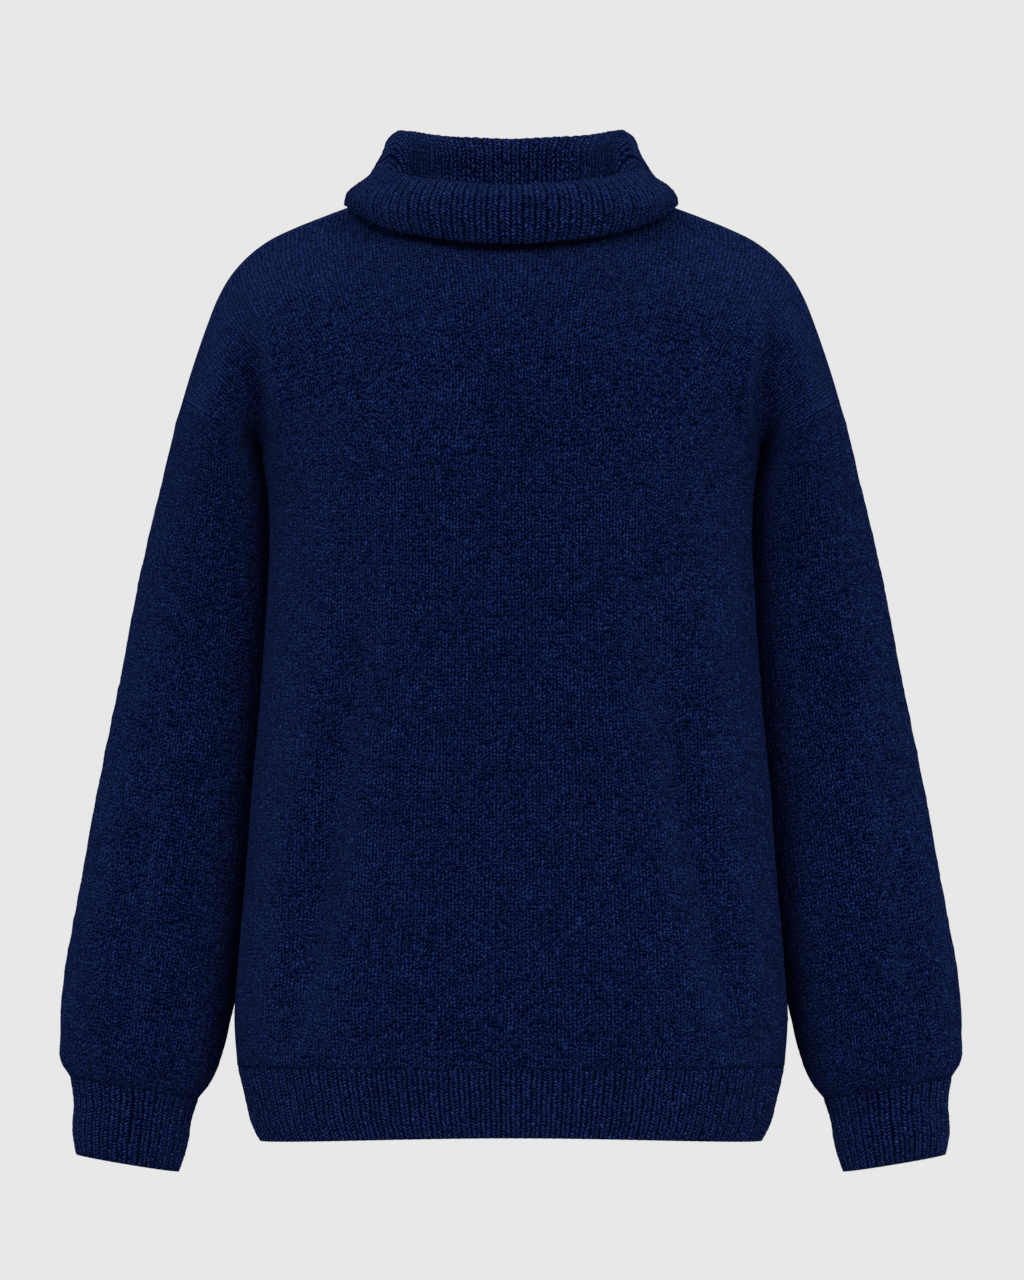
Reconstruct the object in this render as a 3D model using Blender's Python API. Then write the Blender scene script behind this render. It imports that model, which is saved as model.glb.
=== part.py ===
"""High neck sweater, filled out as it is worn, with nothing inside it.

Nine knitted pieces hang from the neck and shoulders: front and back panels with drop
shoulders, two sleeves, two cuffs, two hem ribs and a turned-down collar. +Z is up, the
front faces -Y, and the origin is midway between the two shoulders at the neck's foot,
which is where the wearer holds the garment up. Left and right are the wearer's, so the
left sleeve is on the +X side.

Every piece starts as a skin, a grid of points on its outer side. The skins of the
panels and sleeves share their seam points, so their walls meet edge to edge with a
small gap. Sizes are in millimetres, and become metres where a mesh is made.
"""

import bmesh
import bpy
import numpy as np

GARMENT = "high_neck_sweater"
MM = 0.001

PANEL_WALL = 3.4
RIB_WALL = 3.6
RIB_HEIGHT = 1.5  # from a rib's trough to its crest
SEAM_GAP = 0.3

HEM_RIBS = 72  # on each half of the hem
CUFF_RIBS = 36
COLLAR_RIBS = 84
SKIN_PER_INSIDE = 4  # points on a ribbed wall's skin for each one on its plain inside

PANEL_COLUMNS = 18  # from the centre line to the side seam
NECK_COLUMNS = 6  # of those, the ones that end at the neckline
YOKE_ROWS = 10  # from the underarm to the shoulder

UNDERARM = (174.0, -8.0, -166.0)
SHOULDER_TIP = (230.0, 8.0, -133.0)
PANEL_SQUARENESS = 2.4
SLEEVE_SQUARENESS = 2.1


def table(columns, *rows):
    """A dictionary with an array for each named column."""
    return dict(zip(columns.split(), np.array(rows, float).T))


# Level sections of the body, from the hem seam up to the underarm.
BODY = table(
    "z half_width front back side_y",
    (-598, 191.5, 138, 127, -8),
    (-570, 193.5, 141, 130, -8),
    (-520, 190.5, 140, 129, -8),
    (-460, 185.4, 137, 127, -9),
    (-395, 180.5, 135, 125, -10),
    (-330, 174.3, 134, 124, -11),
    (-270, 170.6, 134, 124, -12),
    (-215, 170.0, 134, 125, -12),
    (-186, 170.7, 134, 126, -11),
    (-174, 171.8, 134, 126, -10),
    (UNDERARM[2], UNDERARM[0], 134, 126, UNDERARM[1]),
)
HEM = table(
    "z half_width front back side_y",
    (-598, 191.0, 137.5, 126.5, -8),
    (-622, 185.6, 134, 123, -8),
    (-640, 181.0, 131, 120, -8),
    (-651, 175.5, 127, 116, -8),
)
# The shoulder line, from the neck's foot to the top of the armhole.
SHOULDER = table(
    "x y z",
    (84, -4, 11),
    (101, 0, 6.5),
    (118, 4, 0.5),
    (138, 7, -7),
    (158, 8, -15.4),
    (174, 8, -24),
    (187, 8, -35),
    (198.5, 8, -49),
    (206, 8, -63),
    (211.5, 8, -77),
    (217, 8, -91),
    (221, 8, -105),
    (226, 8, -119),
    SHOULDER_TIP,
)
# The armhole lies in a slanted plane. share runs from the underarm to the shoulder tip.
ARMHOLE = table(
    "share front_y back_y",
    (0.00, UNDERARM[1], UNDERARM[1]),
    (0.06, -27, 11),
    (0.15, -43, 29),
    (0.28, -57, 47),
    (0.43, -67, 62),
    (0.58, -70, 71),
    (0.74, -65, 72),
    (0.86, -51, 61),
    (0.94, -32, 45),
    (0.985, -10, 26),
    (1.00, SHOULDER_TIP[1], SHOULDER_TIP[1]),
)
NECKLINE = {
    "half_width": 84,
    "side": (-4, 11),  # y and z at the neck's foot
    "front": (-78, -17),
    "back": (68, 3),
}
CENTRE_LINE = {
    "front": table(
        "y z", (-134, -166), (-132, -130), (-125, -95), (-111, -60), (-96, -37), NECKLINE["front"]
    ),
    "back": table(
        "y z", (126, -166), (127, -122), (120, -78), (105, -40), (87, -14), NECKLINE["back"]
    ),
}
# The crease between body and arm, pressed in on both faces of the yoke.
ARM_CREASE = {"depth": 95, "at": 0.80, "spread": 0.13, "fade": 1.2, "seam_power": 8}
# Smoothing that lets the cloth round off the patch's corners.
YOKE_EASING = {"rounds": 6, "share": 0.5}

# Sections of the sleeve, from just below the armhole to the cuff seam.
SLEEVE = table(
    "outer_x outer_z inner_x inner_z side_y front back",
    (236.0, -154, 178.0, -178, 6, 73, 70),
    (243.0, -182, 169.3, -204, 22, 72, 68),
    (251.5, -216, 168.9, -238, 34, 69, 66),
    (261.5, -262, 168.5, -284, 44, 66, 63),
    (272.5, -315, 172.0, -336, 49, 62, 61),
    (284.5, -375, 177.5, -396, 49, 61, 61),
    (296.5, -435, 182.8, -455, 46, 62, 61),
    (307.5, -497, 189.5, -516, 42, 62, 61),
    (314.8, -548, 195.8, -566, 38, 60, 59),
    (316.8, -579, 203.5, -596, 35, 56, 55),
    (315.8, -597, 210.5, -612, 33, 50, 50),
    (309.5, -607.6, 219.5, -622.8, 32, 41, 41),
)
CUFF = table(
    "outer_x outer_z inner_x inner_z side_y front back",
    (309.0, -607.9, 220.0, -623.1, 32, 40.5, 40.5),
    (307.0, -622, 223.5, -635, 31, 39, 39),
    (307.5, -648, 228.5, -660, 29, 37.5, 37.5),
    (305.0, -662, 233.0, -674, 28, 34.5, 34.5),
)

# Long shallow troughs down the cloth, each pressed in on the side that its piece faces.
FOLDS = {
    "front_panel": (
        table(
            "z x depth width",
            (-585, -152, 0, 15),
            (-553, -148, 3.5, 16),
            (-483, -135, 6.0, 18),
            (-400, -127, 5.5, 20),
            (-300, -126, 3.5, 20),
            (-215, -118, 0, 20),
        ),
        table(
            "z x depth width",
            (-585, 158, 0, 14),
            (-553, 153, 4.0, 15),
            (-483, 136, 5.5, 17),
            (-413, 125, 6.5, 19),
            (-343, 115, 5.0, 21),
            (-260, 103, 3.0, 22),
            (-185, 95, 0, 22),
        ),
        table("z x depth width", (-560, 12, 0, 18), (-420, 6, 2.2, 24), (-240, 2, 0, 22)),
    ),
    "back_panel": (
        table(
            "z x depth width",
            (-580, 146, 0, 16),
            (-500, 138, 5.5, 18),
            (-390, 124, 6.0, 21),
            (-250, 112, 0, 22),
        ),
        table(
            "z x depth width",
            (-585, -154, 0, 15),
            (-520, -146, 4.5, 17),
            (-430, -131, 6.0, 20),
            (-310, -116, 3.5, 22),
            (-200, -104, 0, 22),
        ),
        table("z x depth width", (-560, -20, 0, 20), (-450, -12, 2.5, 26), (-290, -4, 0, 24)),
    ),
    "left_sleeve": (
        table(
            "z x depth width",
            (-575, 262, 0, 12),
            (-530, 257, 4.5, 14),
            (-440, 247, 5.0, 16),
            (-330, 232, 0, 16),
        ),
        table("z x depth width", (-350, 206, 0, 12), (-270, 201, 3.5, 14), (-190, 196, 0, 14)),
    ),
    "right_sleeve": (
        table(
            "z x depth width",
            (-580, -270, 0, 12),
            (-520, -268, 5.0, 14),
            (-430, -262, 4.5, 15),
            (-300, -240, 0, 16),
        ),
        table("z x depth width", (-380, -202, 0, 12), (-290, -199, 3.5, 13), (-200, -194, 0, 13)),
    ),
}
HEM_LIFT = 5  # how much higher the hem's edge is at the middle than at its corners

# The collar by the angle round the neck, 0 at the front. out is from the neckline.
COLLAR = table(
    "angle fold_out fold_z fold_radius bulge_out bulge_z edge_out edge_z",
    (0, 13, 15.4, 11, 29, -8, 19, -26),
    (30, 12, 18.5, 11, 30, -5, 21, -22),
    (60, 9, 25, 10, 33, 2, 26, -11),
    (80, 8, 28, 9.5, 33, 8, 32, 1),
    (86, 6, 28.5, 8.5, 32, 9, 33, 3.4),
    (90.5, 3, 29, 8, 30, 10, 32, 3.6),
    (96, -8, 50, 6.5, 3, 34, 24, 3.4),
    (106, -8, 55, 6.5, 3.5, 36, 22, 3),
    (125, 5, 56.5, 8, 24, 10, 24, -4),
    (145, 12, 55, 8, 27, 4, 24, -9),
    (180, 8, 52.5, 8, 25, 2, 23, -13),
)
COLLAR_ROWS = 11
COLLAR_FALL = {"out": 1.2, "down": 0.7}  # where the turned cloth falls, in fold radii
COLLAR_CURL = {"in": 5, "up": 2}  # how the lower edge curls back

NAVY = (0.0052, 0.0090, 0.0400, 1.0)
RIB_NAVY = (0.0058, 0.0098, 0.0430, 1.0)
WOOL_ROUGHNESS = 0.95
SHARP_ANGLE = 40  # degrees between faces that shade as an edge


def spline(at, places, values):
    """A smooth curve through values at their places, each slope taken from the neighbours."""
    at, places = np.asarray(at, float), np.asarray(places, float)
    values = np.asarray(values, float).reshape(len(places), -1)
    slopes = np.gradient(values, places, axis=0)
    i = np.clip(np.searchsorted(places, at, side="right") - 1, 0, len(places) - 2)
    width = (places[i + 1] - places[i])[:, None]
    t = ((at - places[i])[:, None]) / width
    start, end = values[i], values[i + 1]
    return (
        start * (2 * t**3 - 3 * t**2 + 1)
        + end * (3 * t**2 - 2 * t**3)
        + slopes[i] * width * (t**3 - 2 * t**2 + t)
        + slopes[i + 1] * width * (t**3 - t**2)
    )


def lengths_along(points):
    """The length of a line from its start to each of its points, as a share of the whole."""
    steps = np.linalg.norm(np.diff(points, axis=0), axis=1)
    along = np.concatenate([[0], np.cumsum(steps)])
    return along / along[-1]


def evenly_along(points, shares):
    """Points at the given shares of a smooth line's length."""
    return spline(shares, lengths_along(points), points)


def oval(angles, half_width, front, back, side_y, squareness):
    """x and y round a level section. The angle is 0 at the front and grows towards +X."""
    across, along = np.sin(angles), np.cos(angles)
    x = half_width * np.sign(across) * np.abs(across) ** (2 / squareness)
    reach = np.where(along > 0, front + side_y, back - side_y)
    y = side_y - reach * np.sign(along) * np.abs(along) ** (2 / squareness)
    return x, y


def body_sections(rows, angles):
    """Level sections of a body table, one grid row for each of its rows."""
    grid = []
    for z, half_width, front, back, side_y in zip(*rows.values()):
        x, y = oval(angles, half_width, front, back, side_y, PANEL_SQUARENESS)
        grid.append(np.stack([x, y, np.full_like(x, z)], axis=1))
    return np.array(grid)


def neckline(angles):
    """Points of the neckline. The angle is 0 at the front and grows towards +X."""
    side_y, side_z = NECKLINE["side"]
    forward = np.cos(angles)
    end = np.where(forward[:, None] > 0, NECKLINE["front"], NECKLINE["back"])
    x = NECKLINE["half_width"] * np.sin(angles)
    y = side_y + (end[:, 0] - side_y) * np.abs(forward)
    z = side_z + (end[:, 1] - side_z) * forward**2
    return np.stack([x, y, z], axis=1)


def armhole_half(face):
    """The armhole's half on one face, from the underarm up to the shoulder tip."""
    share = ARMHOLE["share"][:, None]
    points = (1 - share) * np.array(UNDERARM) + share * np.array(SHOULDER_TIP)
    points[:, 1] = ARMHOLE[face + "_y"]
    return evenly_along(points, np.linspace(0, 1, YOKE_ROWS + 1))


def top_edge(face):
    """The panel's top from the centre to the shoulder tip: neckline, then shoulder line."""
    quarter = np.linspace(0, np.pi / 2, NECK_COLUMNS + 1)
    around = quarter if face == "front" else np.pi - quarter
    ridge = np.stack(list(SHOULDER.values()), axis=1)
    shares = np.linspace(0, 1, PANEL_COLUMNS - NECK_COLUMNS + 1)
    return np.concatenate([neckline(around), evenly_along(ridge, shares)[1:]])


def yoke(face):
    """The panel above the underarm, from the centre line out: a patch between four edges."""
    facing = -1 if face == "front" else 1
    quarter = np.linspace(0, np.pi / 2, PANEL_COLUMNS + 1)
    angles = quarter if face == "front" else np.pi - quarter
    underarm_row = {name: values[-1:] for name, values in BODY.items()}
    bottom = body_sections(underarm_row, angles)[0]
    top = top_edge(face)
    line = CENTRE_LINE[face]
    middle = np.stack([np.zeros_like(line["y"]), line["y"], line["z"]], axis=1)
    left = evenly_along(middle, np.linspace(0, 1, YOKE_ROWS + 1))
    right = armhole_half(face)

    u = np.linspace(0, 1, PANEL_COLUMNS + 1)[None, :, None]
    v = np.linspace(0, 1, YOKE_ROWS + 1)[:, None, None]
    patch = (1 - v) * bottom + v * top + (1 - u) * left[:, None] + u * right[:, None]
    patch -= (1 - v) * ((1 - u) * bottom[0] + u * bottom[-1])
    patch -= v * ((1 - u) * top[0] + u * top[-1])
    near = np.exp(-(((u - ARM_CREASE["at"]) / ARM_CREASE["spread"]) ** 2))
    near *= 1 - u ** ARM_CREASE["seam_power"]
    press = ARM_CREASE["depth"] * v * (1 - v) ** ARM_CREASE["fade"] * near
    patch[..., 1] -= facing * press[..., 0]
    return patch


def panel_skin(face):
    """The whole skin of the front or back panel, its columns running left to right."""
    quarter = np.linspace(0, np.pi / 2, PANEL_COLUMNS + 1)
    angles = quarter if face == "front" else np.pi - quarter
    half = np.concatenate([body_sections(BODY, angles)[:-1], yoke(face)])
    other_half = half[:, :0:-1] * (-1, 1, 1)
    whole = np.concatenate([other_half, half], axis=1)
    eased = whole[-YOKE_ROWS - 2 :]
    for _ in range(YOKE_EASING["rounds"]):
        around = eased[:-2, 1:-1] + eased[2:, 1:-1] + eased[1:-1, :-2] + eased[1:-1, 2:]
        eased[1:-1, 1:-1] += YOKE_EASING["share"] * (around / 4 - eased[1:-1, 1:-1])
    return whole if face == "front" else whole[:, ::-1]


def arm_sections(rows, angles):
    """Slanted sections of a sleeve or cuff. The angle is 0 on the outer side, then front."""
    grid = []
    for outer_x, outer_z, inner_x, inner_z, side_y, front, back in zip(*rows.values()):
        share, depth = oval(angles + np.pi / 2, 1, front, back, 0, SLEEVE_SQUARENESS)
        share = (share + 1) / 2
        x = inner_x + (outer_x - inner_x) * share
        z = inner_z + (outer_z - inner_z) * share
        grid.append(np.stack([x, side_y - depth, z], axis=1))
    return np.array(grid)


def sleeve_skin():
    """The +X sleeve, from the armhole down. Columns run outer, front, inner, back."""
    front, back = armhole_half("front"), armhole_half("back")
    armhole = np.concatenate([front[::-1], back[1:]])
    angles = np.linspace(0, 2 * np.pi, 2 * YOKE_ROWS + 1)
    return np.concatenate([armhole[None], arm_sections(SLEEVE, angles)])


def mirrored(grid):
    """The same grid on the other side of the centre line, still facing out."""
    return grid[:, ::-1] * (-1, 1, 1)


def unit(vectors):
    return vectors / np.linalg.norm(vectors, axis=-1)[..., None]


def shared_normals(skins, ringed=()):
    """Outward directions at every skin's points. Points that skins share get one direction.

    The first row of each skin numbered in ringed is a closed seam, where the directions
    are evened out along the seam.
    """
    points = np.concatenate([skin.reshape(-1, 3) for skin in skins])
    _, index = np.unique(np.round(points, 3), axis=0, return_inverse=True)
    index = index.reshape(-1)
    total = np.zeros((index.max() + 1, 3))
    numbers, start = [], 0
    for skin in skins:
        count = skin.shape[0] * skin.shape[1]
        ids = index[start : start + count].reshape(skin.shape[:2])
        start += count
        numbers.append(ids)
        face = unit(np.cross(skin[1:, 1:] - skin[:-1, :-1], skin[1:, :-1] - skin[:-1, 1:]))
        for corner in (ids[:-1, :-1], ids[:-1, 1:], ids[1:, :-1], ids[1:, 1:]):
            np.add.at(total, corner.ravel(), face.reshape(-1, 3))
    total = unit(total)
    for skin in ringed:
        ring = numbers[skin][0, :-1]
        beside = np.roll(total[ring], 1, axis=0) + np.roll(total[ring], -1, axis=0)
        total[ring] = unit(total[ring] + 0.5 * beside)
    return [total[ids] for ids in numbers]


def fold_in(name, skin, out):
    """Presses a piece's long troughs into its skin."""
    facing = np.clip(out[..., 1] if name == "back_panel" else -out[..., 1], 0, 1)
    folded = skin.copy()
    for fold in FOLDS[name]:
        order = np.argsort(fold["z"])
        heights = fold["z"][order]
        x, depth, width = (
            np.interp(skin[..., 2], heights, fold[column][order])
            for column in ("x", "depth", "width")
        )
        press = depth * facing * np.exp(-(((skin[..., 0] - x) / width) ** 2))
        folded -= press[..., None] * out
    return folded


def pull_in(grid, skin, out, edges):
    """Moves the named edges of a grid half a seam gap inwards, square to the seam's faces."""
    moved = grid.copy()
    lines = {
        "first_row": (np.s_[0, :], np.s_[1, :]),
        "last_row": (np.s_[-1, :], np.s_[-2, :]),
        "first_column": (np.s_[:, 0], np.s_[:, 1]),
        "last_column": (np.s_[:, -1], np.s_[:, -2]),
    }
    for edge in edges:
        place, next_place = lines[edge]
        seam = skin[place]
        inward = skin[next_place] - seam
        across = unit(np.cross(np.diff(seam, axis=0), out[place][1:] + out[place][:-1]))
        across *= np.sign((across * (inward[1:] + inward[:-1])).sum(axis=1))[:, None]
        ring = np.allclose(seam[0], seam[-1])
        before = np.concatenate([across[-1:] if ring else across[:1], across])
        after = np.concatenate([across, across[:1] if ring else across[-1:]])
        corner = 1 + (before * after).sum(axis=1)[:, None]
        moved[place] += (before + after) / corner * SEAM_GAP / 2
    return moved


def seam_order(vertex):
    """Rises along every seam, so that both of its sides split their faces from one end."""
    return vertex.co.z + 2 * abs(vertex.co.x)


def rim_faces(bm, outer, inner):
    """Triangles between a rim's outer and inner points.

    Where both have as many points, the split is alike on both sides of a seam. A ribbed
    rim fans out from the middle of each stretch, because it has more points outside.
    """
    ratio = (len(outer) - 1) // (len(inner) - 1)
    for c, (d, e) in enumerate(zip(inner, inner[1:])):
        edge = outer[c * ratio : (c + 1) * ratio + 1]
        if ratio == 1:
            a, b = edge
            if seam_order(a) > seam_order(b):
                a, b, d, e = b, a, e, d
            bm.faces.new((a, b, e))
            bm.faces.new((a, e, d))
            continue
        middle = ratio // 2
        bm.faces.new((d, edge[middle], e))
        for k, (a, b) in enumerate(zip(edge, edge[1:])):
            bm.faces.new((a, b, d if k < middle else e))


def wall(name, skin, inside, closed, colour):
    """One solid between a skin and its inside. The skin may have more columns than that."""
    bm = bmesh.new()
    columns = skin.shape[1] - 1 if closed else skin.shape[1]
    inside_columns = inside.shape[1] - 1 if closed else inside.shape[1]
    outer = [[bm.verts.new(p * MM) for p in row[:columns]] for row in skin]
    inner = [[bm.verts.new(p * MM) for p in row[:inside_columns]] for row in inside]
    for grid in (outer, inner):
        count = len(grid[0])
        for low, high in zip(grid, grid[1:]):
            for c in range(count if closed else count - 1):
                after = (c + 1) % count
                corners = (low[c], low[after], high[after], high[c])
                bm.faces.new(corners if grid is outer else corners[::-1])
    for row in (0, -1):
        rim_faces(
            bm,
            [outer[row][c % columns] for c in range(skin.shape[1])],
            [inner[row][c % inside_columns] for c in range(inside.shape[1])],
        )
    if not closed:
        for column in (0, -1):
            rim_faces(bm, [row[column] for row in outer], [row[column] for row in inner])
    bmesh.ops.recalc_face_normals(bm, faces=bm.faces)
    mesh = bpy.data.meshes.new(name)
    bm.to_mesh(mesh)
    bm.free()
    mesh.shade_smooth()
    mesh.set_sharp_from_angle(angle=np.radians(SHARP_ANGLE))
    obj = bpy.data.objects.new(name, mesh)
    material = bpy.data.materials.new(name)
    material.use_nodes = True
    shader = material.node_tree.nodes["Principled BSDF"]
    shader.inputs["Base Color"].default_value = colour
    shader.inputs["Roughness"].default_value = WOOL_ROUGHNESS
    shader.inputs["Metallic"].default_value = 0.0
    mesh.materials.append(material)
    bpy.data.collections[GARMENT].objects.link(obj)
    return obj


def rib_relief(columns):
    """How far each column of a ribbed skin stands out: trough, crest, trough, crest."""
    return (np.arange(columns) % 2 - 0.5) * RIB_HEIGHT


def tube_normals(skin):
    """Directions out of one skin that is closed round, or half of a closed round."""
    return shared_normals([skin])[0]


def panels_and_sleeves():
    skins = {
        "front_panel": panel_skin("front"),
        "back_panel": panel_skin("back"),
        "left_sleeve": sleeve_skin(),
        "right_sleeve": mirrored(sleeve_skin()),
    }
    directions = shared_normals(list(skins.values()), ringed=(2, 3))
    for (name, skin), out in zip(skins.items(), directions):
        panel = name.endswith("panel")
        at_underarm = np.isclose(np.abs(skin), np.abs(UNDERARM)).all(axis=2)
        out[at_underarm] = (0, 0, -1)  # body and arm turn away from each other here
        if panel:
            out[0, :, 2] = 0
        skin = fold_in(name, skin, out)
        inside = skin - PANEL_WALL * out
        edges = ["first_row", "last_row"]
        if panel:
            edges += ["first_column", "last_column"]
        wall(
            name,
            pull_in(skin, skin, out, edges),
            pull_in(inside, skin, out, edges),
            not panel,
            NAVY,
        )


def hem_ribs():
    for name, start in (("front_hem_rib", -np.pi / 2), ("back_hem_rib", np.pi / 2)):
        angles = np.linspace(start, start + np.pi, 2 * HEM_RIBS + 1)
        base = body_sections(HEM, angles)
        down = (base[0, 0, 2] - base[:, :, 2]) / (base[0, 0, 2] - base[-1, 0, 2])
        base[..., 2] += HEM_LIFT * down * np.cos(angles) ** 2
        out = tube_normals(base)
        out[..., 2] = 0
        out[:, 0] = (np.sign(base[0, 0, 0]), 0, 0)
        out[:, -1] = -out[:, 0]
        skin = base + rib_relief(base.shape[1])[None, :, None] * out
        coarse = np.s_[:, ::SKIN_PER_INSIDE]
        inside = (base - RIB_WALL * out)[coarse]
        edges = ["first_column", "last_column"]
        skin = pull_in(skin, base, out, edges)
        inside = pull_in(inside, base[coarse], out[coarse], edges)
        for grid in (skin, inside):
            grid[0, :, 2] -= SEAM_GAP / 2
        wall(name, skin, inside, False, RIB_NAVY)


def cuffs():
    angles = np.linspace(0, 2 * np.pi, 2 * CUFF_RIBS + 1)
    base = arm_sections(CUFF, angles)
    out = tube_normals(base)
    skin = base + rib_relief(base.shape[1])[None, :, None] * out
    inside = (base - RIB_WALL * out)[:, ::SKIN_PER_INSIDE]
    for name, flip in (("left_cuff", False), ("right_cuff", True)):
        grids = [mirrored(skin), mirrored(inside)] if flip else [skin, inside]
        wall(name, *grids, True, RIB_NAVY)


def collar():
    """The collar's wall: up from the neckline, over the fold and down to its lower edge."""
    angles = np.linspace(0, 2 * np.pi, 2 * COLLAR_RIBS + 1)
    turn = np.degrees(np.minimum(angles, 2 * np.pi - angles))
    rows = np.stack(list(COLLAR.values())[1:], axis=1)
    around = np.concatenate([[-COLLAR["angle"][1]], COLLAR["angle"], [360 - COLLAR["angle"][-2]]])
    rows = np.concatenate([rows[1:2], rows, rows[-2:-1]])
    shape = spline(turn, around, rows)
    foot = neckline(angles)
    panel_corners = np.linspace(0, 2 * np.pi, 4 * NECK_COLUMNS + 1)
    seam = [np.interp(angles, panel_corners, line) for line in neckline(panel_corners).T]
    outward = np.stack([np.sin(angles), -np.cos(angles), np.zeros_like(angles)], axis=1)
    skin = []
    for place, away, numbers in zip(foot, outward, shape):
        fold_out, fold_z, radius, bulge_out, bulge_z, edge_out, edge_z = numbers
        base_z = place[2] + SEAM_GAP
        section = np.array(
            [
                (-RIB_WALL, base_z),
                (fold_out - radius - RIB_WALL / 2, 0.5 * (base_z + fold_z - radius)),
                (fold_out - radius, fold_z - radius),
                (fold_out, fold_z),
                (fold_out + COLLAR_FALL["out"] * radius, fold_z - COLLAR_FALL["down"] * radius),
                (bulge_out, bulge_z),
                (edge_out, edge_z),
                (edge_out - COLLAR_CURL["in"], edge_z + COLLAR_CURL["up"]),
            ]
        )
        line = evenly_along(section, np.linspace(0, 1, COLLAR_ROWS + 1))
        level = np.array([place[0], place[1], 0.0])
        skin.append(level + line[:, :1] * away + line[:, 1:] * (0, 0, 1))
    base = np.array(skin).transpose(1, 0, 2)
    base[0] = np.stack(seam, axis=1) + (0, 0, SEAM_GAP) - RIB_WALL * outward
    base = base[::-1]
    out = tube_normals(base)
    out[-1] = -outward
    skin = base + rib_relief(base.shape[1])[None, :, None] * out
    inside = (base - RIB_WALL * out)[:, ::SKIN_PER_INSIDE]
    wall("collar", skin, inside, True, RIB_NAVY)


def main():
    for obj in list(bpy.data.objects):
        bpy.data.objects.remove(obj)
    collection = bpy.data.collections.new(GARMENT)
    bpy.context.scene.collection.children.link(collection)
    panels_and_sleeves()
    hem_ribs()
    cuffs()
    collar()


main()
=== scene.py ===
"""High neck sweater in a heavy navy wool, filled out as worn and held up by nothing in sight."""

import bmesh
import bpy
import numpy as np
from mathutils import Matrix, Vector


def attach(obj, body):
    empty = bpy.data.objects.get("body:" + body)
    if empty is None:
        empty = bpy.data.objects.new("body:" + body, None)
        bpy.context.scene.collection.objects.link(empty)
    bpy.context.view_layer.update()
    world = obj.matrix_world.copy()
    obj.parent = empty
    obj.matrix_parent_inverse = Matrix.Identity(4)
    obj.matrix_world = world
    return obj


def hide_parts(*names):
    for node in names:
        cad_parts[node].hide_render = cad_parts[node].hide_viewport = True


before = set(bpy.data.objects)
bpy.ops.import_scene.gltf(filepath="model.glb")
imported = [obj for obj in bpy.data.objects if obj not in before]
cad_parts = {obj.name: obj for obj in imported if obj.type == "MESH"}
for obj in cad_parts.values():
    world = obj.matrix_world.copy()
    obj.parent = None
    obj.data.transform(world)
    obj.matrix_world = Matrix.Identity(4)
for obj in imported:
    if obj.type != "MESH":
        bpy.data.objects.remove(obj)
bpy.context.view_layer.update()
MM = 0.001

# ---------------------------------------------------------------------------------------
# Front and back panels. Two pieces of plain knit in thick, soft wool, joined to each other
# at the side and shoulder seams. Their wales run up from the hem ribs, and at the dropped
# shoulders they follow the armhole seams.

PANEL_WALL = 3.4
PANEL_WALES = 100
PANEL_COURSES = 218
PANEL_SIZE = (520, 600)  # millimetres across and up, for the painted shade and highlight along its seams
PANEL_SEAMS = ("sides", "top")
BODY_ROWS = 108  # rows of points up to the underarm
YOKE_ROWS = 42  # rows of points from there to the shoulder
WALE_POINTS = 4  # points across one wale: valley, leg, groove, leg
WALE_HEIGHTS = (-0.3, 0.15, 0.0, 0.15)
SWELL = 0.8  # the height of the cloth's broad swells, and of its small ones
SMALL_SWELL = 0.4
FUZZ_HEIGHT = 0.16
SINK = 0.5  # how far plain knit lies inside its form, to leave room for its relief
INNER_STEP = (6, 8)  # how many rows and columns one of the wall's inside stands for
HALF_COLUMNS = 19  # the coarse form's points from the centre line to the side
YOKE_FORM_ROWS = 11
BODY_SQUARENESS = 2.4  # 2 is an ellipse

UNDERARM = (174.0, -8.0, -166.0)
SHOULDER_TIP = (230.0, 8.0, -133.0)


def table(columns, *rows):
    """A dictionary with an array for each named column."""
    return dict(zip(columns.split(), np.array(rows, float).T))


BODY = table(
    "z half_width front back side_y",
    (-598, 191.5, 138, 127, -8),
    (-570, 193.5, 141, 130, -8),
    (-520, 190.5, 140, 129, -8),
    (-460, 185.4, 137, 127, -9),
    (-395, 180.5, 135, 125, -10),
    (-330, 174.3, 134, 124, -11),
    (-270, 170.6, 134, 124, -12),
    (-215, 169.0, 134, 125, -12),
    (-186, 171.5, 134, 126, -11),
    (-174, 174.0, 134, 126, -10),
    (UNDERARM[2], UNDERARM[0], 134, 126, UNDERARM[1]),
)
SHOULDER = table(
    "x y z",
    (84, -4, 11),
    (101, 0, 6.5),
    (118, 4, 0.5),
    (138, 7, -7),
    (158, 8, -15.4),
    (174, 8, -24),
    (187, 8, -35),
    (198.5, 8, -49),
    (206, 8, -63),
    (211.5, 8, -77),
    (217, 8, -91),
    (221, 8, -105),
    (226, 8, -119),
    SHOULDER_TIP,
)
ARMHOLE = table(
    "share front_y back_y",
    (0.00, UNDERARM[1], UNDERARM[1]),
    (0.06, -27, 11),
    (0.15, -43, 29),
    (0.28, -57, 47),
    (0.43, -67, 62),
    (0.58, -70, 71),
    (0.74, -65, 72),
    (0.86, -51, 61),
    (0.94, -32, 45),
    (0.985, -10, 26),
    (1.00, SHOULDER_TIP[1], SHOULDER_TIP[1]),
)
NECKLINE = {"half_width": 84, "side": (-4, 11), "front": (-78, -17), "back": (68, 3)}
CENTRE_LINE = {
    "front": table(
        "y z", (-134, -166), (-132, -130), (-125, -95), (-111, -60), (-96, -37), NECKLINE["front"]
    ),
    "back": table(
        "y z", (126, -166), (127, -122), (120, -78), (105, -40), (87, -14), NECKLINE["back"]
    ),
}
ARM_CREASE = {"depth": 95, "at": 0.80, "spread": 0.13, "fade": 1.2, "seam_power": 8}
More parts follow.
